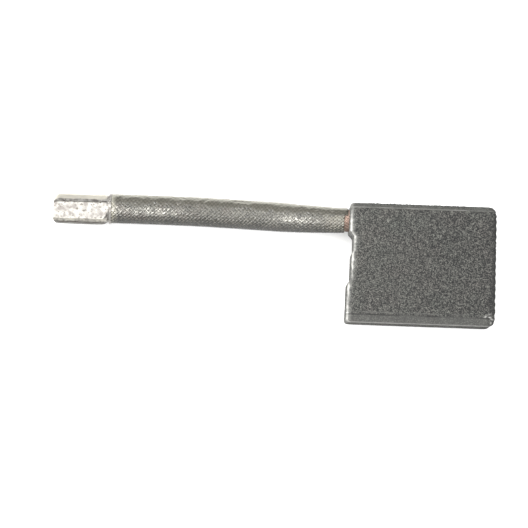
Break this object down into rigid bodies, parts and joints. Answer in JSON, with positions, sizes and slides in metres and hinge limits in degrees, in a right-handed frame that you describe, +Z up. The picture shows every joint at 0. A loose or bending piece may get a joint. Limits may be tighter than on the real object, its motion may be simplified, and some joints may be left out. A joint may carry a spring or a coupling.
{
  "type": "carbon brush",
  "caption": "Pressed copper-graphite motor brush: a block with a ridged concave contact face and a spring seat, and a sleeved stranded copper lead that ends in a crimped ferrule.",
  "frame": {"origin": "middle of the block's lower wide face, which rests on the surface; measured on the block without its lead", "axes": "+X along the block to its contact face, +Y across the block to the side that the lead leaves from, +Z up through the block's thickness"},
  "size_m": [0.0598, 0.0165, 0.008],
  "materials": {
    "copper_graphite": "matte",
    "stranded_copper": "satin",
    "glass_braid": "satin",
    "tinned_copper": "satin"
  },
  "bodies": {
    "root": {"brush_block": "copper_graphite", "copper_lead": "stranded_copper", "braided_sleeve": "glass_braid", "ferrule": "tinned_copper"}
  },
  "joints": []
}
